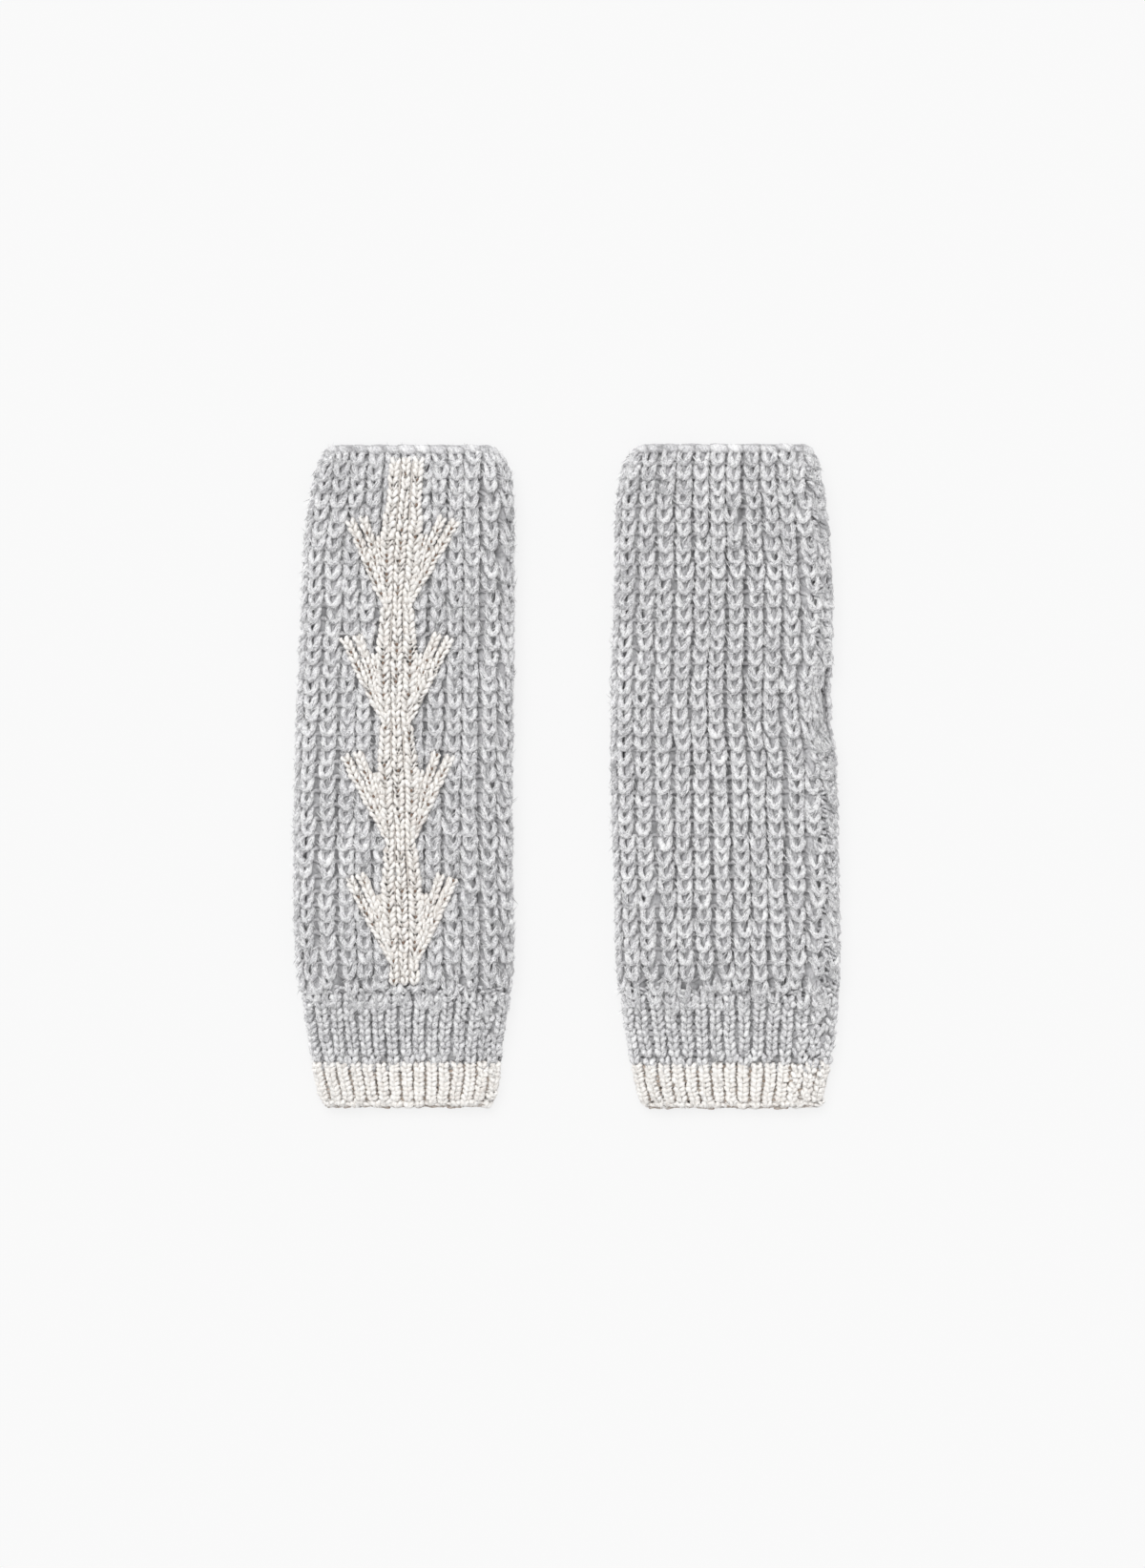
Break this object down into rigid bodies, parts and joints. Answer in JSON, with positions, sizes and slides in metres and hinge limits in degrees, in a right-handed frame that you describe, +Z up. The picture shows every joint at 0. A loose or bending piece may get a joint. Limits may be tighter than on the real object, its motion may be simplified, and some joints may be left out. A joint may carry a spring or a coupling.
{
  "type": "pair of fingerless mittens",
  "caption": "Flat-laid ribbed knit fingerless mittens, a side opening for the thumb, a fine rib cuff and a contrast band, one with a column of cabled arrows on its back.",
  "frame": {"origin": "centre of the pair's footprint, on the surface that it lies on", "axes": "+Y towards the finger ends, +X towards the thumb sides, +Z up out of the surface"},
  "size_m": [0.2233, 0.2712, 0.011],
  "materials": {
    "grey_wool": "soft melange wool, brushed and matte",
    "cream_yarn": "smooth plied yarn with a faint sparkle"
  },
  "bodies": {
    "root": {"left_body": "grey_wool", "left_cuff": "grey_wool", "left_band": "cream_yarn", "left_top_edge": "grey_wool", "left_arrow": "cream_yarn", "right_body": "grey_wool", "right_cuff": "grey_wool", "right_band": "cream_yarn", "right_top_edge": "grey_wool"}
  },
  "joints": []
}
